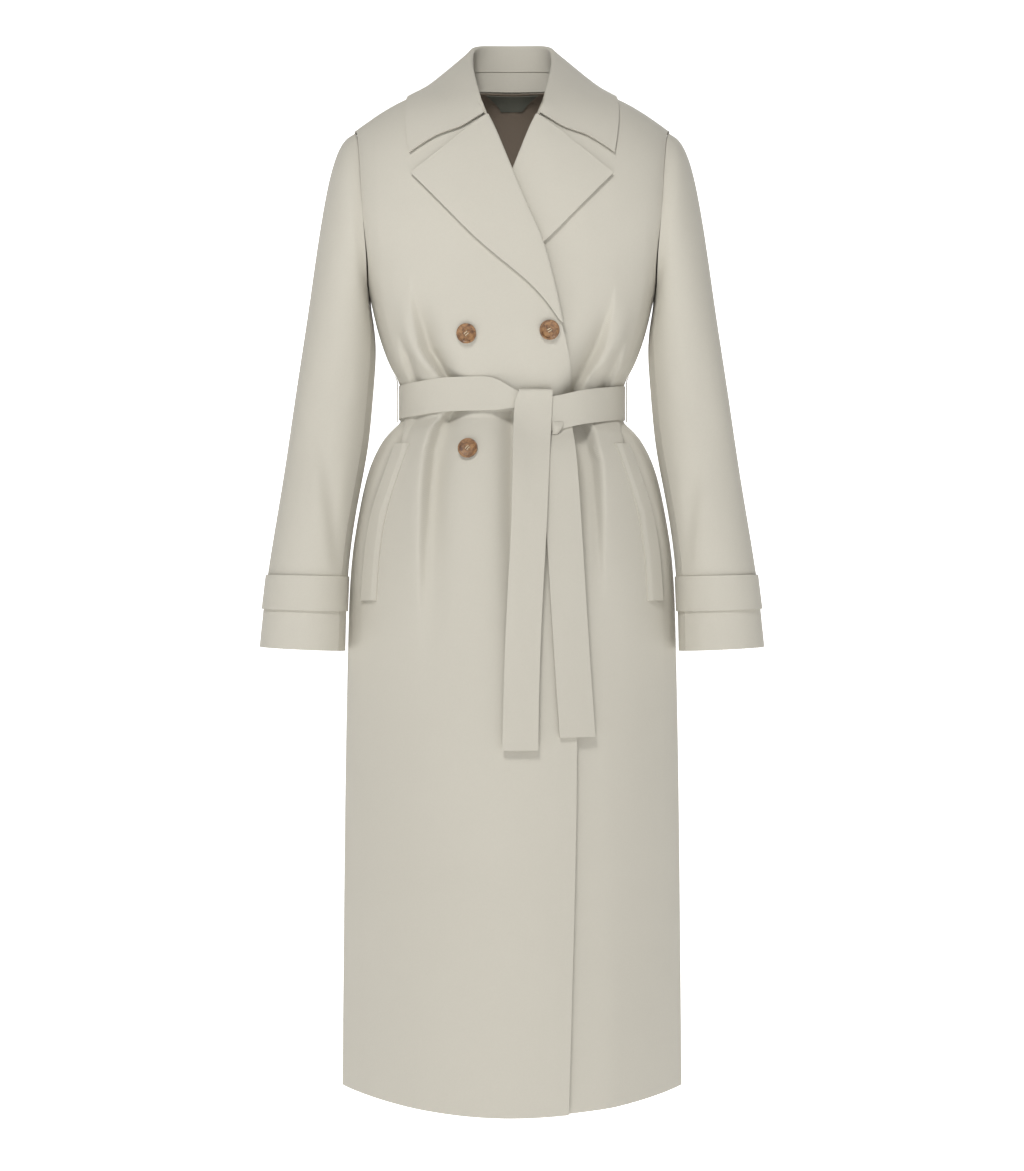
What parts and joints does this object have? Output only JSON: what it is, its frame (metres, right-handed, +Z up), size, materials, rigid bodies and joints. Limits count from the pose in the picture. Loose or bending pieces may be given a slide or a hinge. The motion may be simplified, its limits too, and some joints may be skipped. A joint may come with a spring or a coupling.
{
  "type": "trench coat",
  "caption": "Long belted double-breasted coat with notched lapels, set-in sleeves with cuff straps, curved welt pockets and a knotted self belt",
  "frame": {"origin": "on the centre plane at the level of the neck sides, where the shoulder seams meet the collar", "axes": "+X to the wearer's left, -Y out of the front, +Z up along the coat's length"},
  "size_m": [0.6128, 0.2997, 1.2916],
  "materials": {
    "cloth": "matt stone grey-beige gabardine",
    "lining": "dark taupe lining satin",
    "label": "plain woven dark grey-green tab, bare",
    "button": "mottled brown horn, polished"
  },
  "bodies": {
    "root": {"front_right": "cloth", "front_left": "cloth", "back": "cloth", "lapel_right": "cloth", "lapel_left": "cloth", "collar_fall": "cloth", "collar_stand": "cloth", "sleeve_top_right": "cloth", "sleeve_under_right": "cloth", "sleeve_top_left": "cloth", "sleeve_under_left": "cloth", "cuff_strap_right": "cloth", "cuff_strap_left": "cloth", "pocket_welt_right": "cloth", "pocket_welt_left": "cloth", "belt_loop_right": "cloth", "belt_loop_left": "cloth", "belt_band": "cloth", "belt_knot": "cloth", "belt_end_front": "cloth", "belt_end_behind": "cloth", "lining_back": "lining", "neck_label": "label", "button_top_right": "button", "button_top_left": "button", "button_low_right": "button", "button_low_left": "button"}
  },
  "joints": []
}
